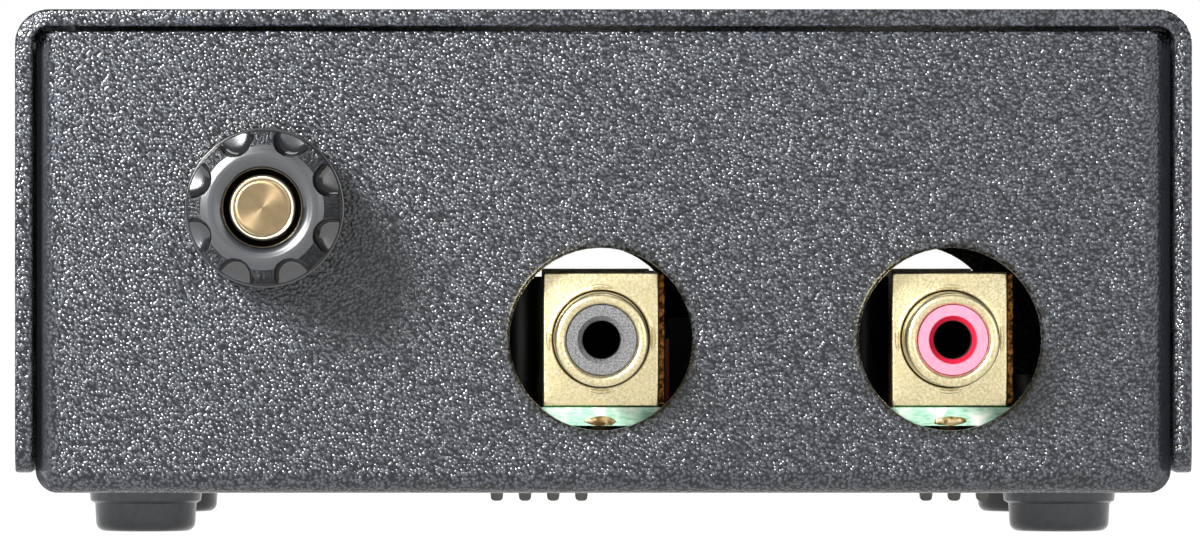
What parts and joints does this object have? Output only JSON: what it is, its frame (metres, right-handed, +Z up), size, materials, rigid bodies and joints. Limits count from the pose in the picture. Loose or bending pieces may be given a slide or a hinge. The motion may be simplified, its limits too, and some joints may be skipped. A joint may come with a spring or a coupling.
{
  "type": "phono preamp",
  "caption": "Compact phono preamp in a folded steel box, with phono jacks at both ends, a ground terminal, a power inlet and slide switches underneath.",
  "frame": {"origin": "on the surface that the feet stand on, midway along the overall width and length", "axes": "+Z up; -Y points out of the input panel, which has the ground terminal; +X is to the right of someone who faces that panel"},
  "size_m": [0.103, 0.1295, 0.046],
  "materials": {
    "powder_coat": "fine wrinkled powder coat, satin",
    "smoke_plastic": "smoky, polished on the skirt and satin on the face",
    "brass": "turned",
    "gold_plate": "bright gold plating",
    "bright_steel": "zinc plated",
    "board_green": "solder mask over glass laminate",
    "black_plastic": "moulded",
    "red_plastic": "moulded",
    "knob_plastic": "moulded",
    "rubber": "moulded rubber",
    "film_red": "box capacitor case",
    "can_sleeve": "shrunk sleeve",
    "resistor_coat": "lacquered",
    "wire_green": "wire insulation"
  },
  "bodies": {
    "root": {"cover": "powder_coat", "chassis_tray": "powder_coat", "cover_screws": "bright_steel", "circuit_board": "board_green", "board_standoffs": "brass", "board_screws": "bright_steel", "foot_front_left": "rubber", "foot_front_right": "rubber", "foot_rear_left": "rubber", "foot_rear_right": "rubber", "foot_screws": "bright_steel", "ground_stud": "brass", "ground_tag": "bright_steel", "ground_lock_nut": "brass", "ground_wire": "wire_green", "input_left_shell": "gold_plate", "input_left_insulator": "black_plastic", "input_left_contact": "gold_plate", "input_right_shell": "gold_plate", "input_right_insulator": "red_plastic", "input_right_contact": "gold_plate", "output_left_shell": "gold_plate", "output_left_insulator": "black_plastic", "output_left_contact": "gold_plate", "output_right_shell": "gold_plate", "output_right_insulator": "red_plastic", "output_right_contact": "gold_plate", "left_switch_bank": "black_plastic", "right_switch_bank": "black_plastic", "inlet_housing": "black_plastic", "inlet_pin": "bright_steel", "signal_capacitors": "can_sleeve", "supply_capacitors": "can_sleeve", "film_capacitors": "film_red", "chip_sockets": "black_plastic", "amplifier_chips": "black_plastic", "resistors": "resistor_coat", "regulators": "black_plastic"},
    "ground_washer": {"ground_washer": "bright_steel"},
    "ground_nut": {"ground_nut": "smoke_plastic", "ground_nut_insert": "brass"},
    "left_slider_1": {"left_slider_1": "knob_plastic"},
    "left_slider_2": {"left_slider_2": "knob_plastic"},
    "left_slider_3": {"left_slider_3": "knob_plastic"},
    "left_slider_4": {"left_slider_4": "knob_plastic"},
    "right_slider_1": {"right_slider_1": "knob_plastic"},
    "right_slider_2": {"right_slider_2": "knob_plastic"},
    "right_slider_3": {"right_slider_3": "knob_plastic"},
    "right_slider_4": {"right_slider_4": "knob_plastic"}
  },
  "joints": [
    {"name": "ground_nut_slide", "type": "slide", "parent": "root", "child": "ground_washer", "axis": [0, -1, 0], "range_m": [0, 0.003]},
    {"name": "ground_nut_turn", "type": "hinge", "parent": "ground_washer", "child": "ground_nut", "pos_m": [-0.0296, -0.05305, 0.0286], "axis": [0, -1, 0], "range_deg": [0, 1080]},
    {"name": "left_slider_1_slide", "type": "slide", "parent": "root", "child": "left_slider_1", "axis": [0, 1, 0], "range_m": [0, 0.002]},
    {"name": "left_slider_2_slide", "type": "slide", "parent": "root", "child": "left_slider_2", "axis": [0, 1, 0], "range_m": [0, 0.002]},
    {"name": "left_slider_3_slide", "type": "slide", "parent": "root", "child": "left_slider_3", "axis": [0, 1, 0], "range_m": [0, 0.002]},
    {"name": "left_slider_4_slide", "type": "slide", "parent": "root", "child": "left_slider_4", "axis": [0, 1, 0], "range_m": [0, 0.002]},
    {"name": "right_slider_1_slide", "type": "slide", "parent": "root", "child": "right_slider_1", "axis": [0, 1, 0], "range_m": [0, 0.002]},
    {"name": "right_slider_2_slide", "type": "slide", "parent": "root", "child": "right_slider_2", "axis": [0, 1, 0], "range_m": [0, 0.002]},
    {"name": "right_slider_3_slide", "type": "slide", "parent": "root", "child": "right_slider_3", "axis": [0, 1, 0], "range_m": [0, 0.002]},
    {"name": "right_slider_4_slide", "type": "slide", "parent": "root", "child": "right_slider_4", "axis": [0, 1, 0], "range_m": [0, 0.002]}
  ],
  "couplings": [
    {"joint": "ground_nut_turn", "follows": "ground_nut_slide", "rad_per_m": 6283.1}
  ]
}
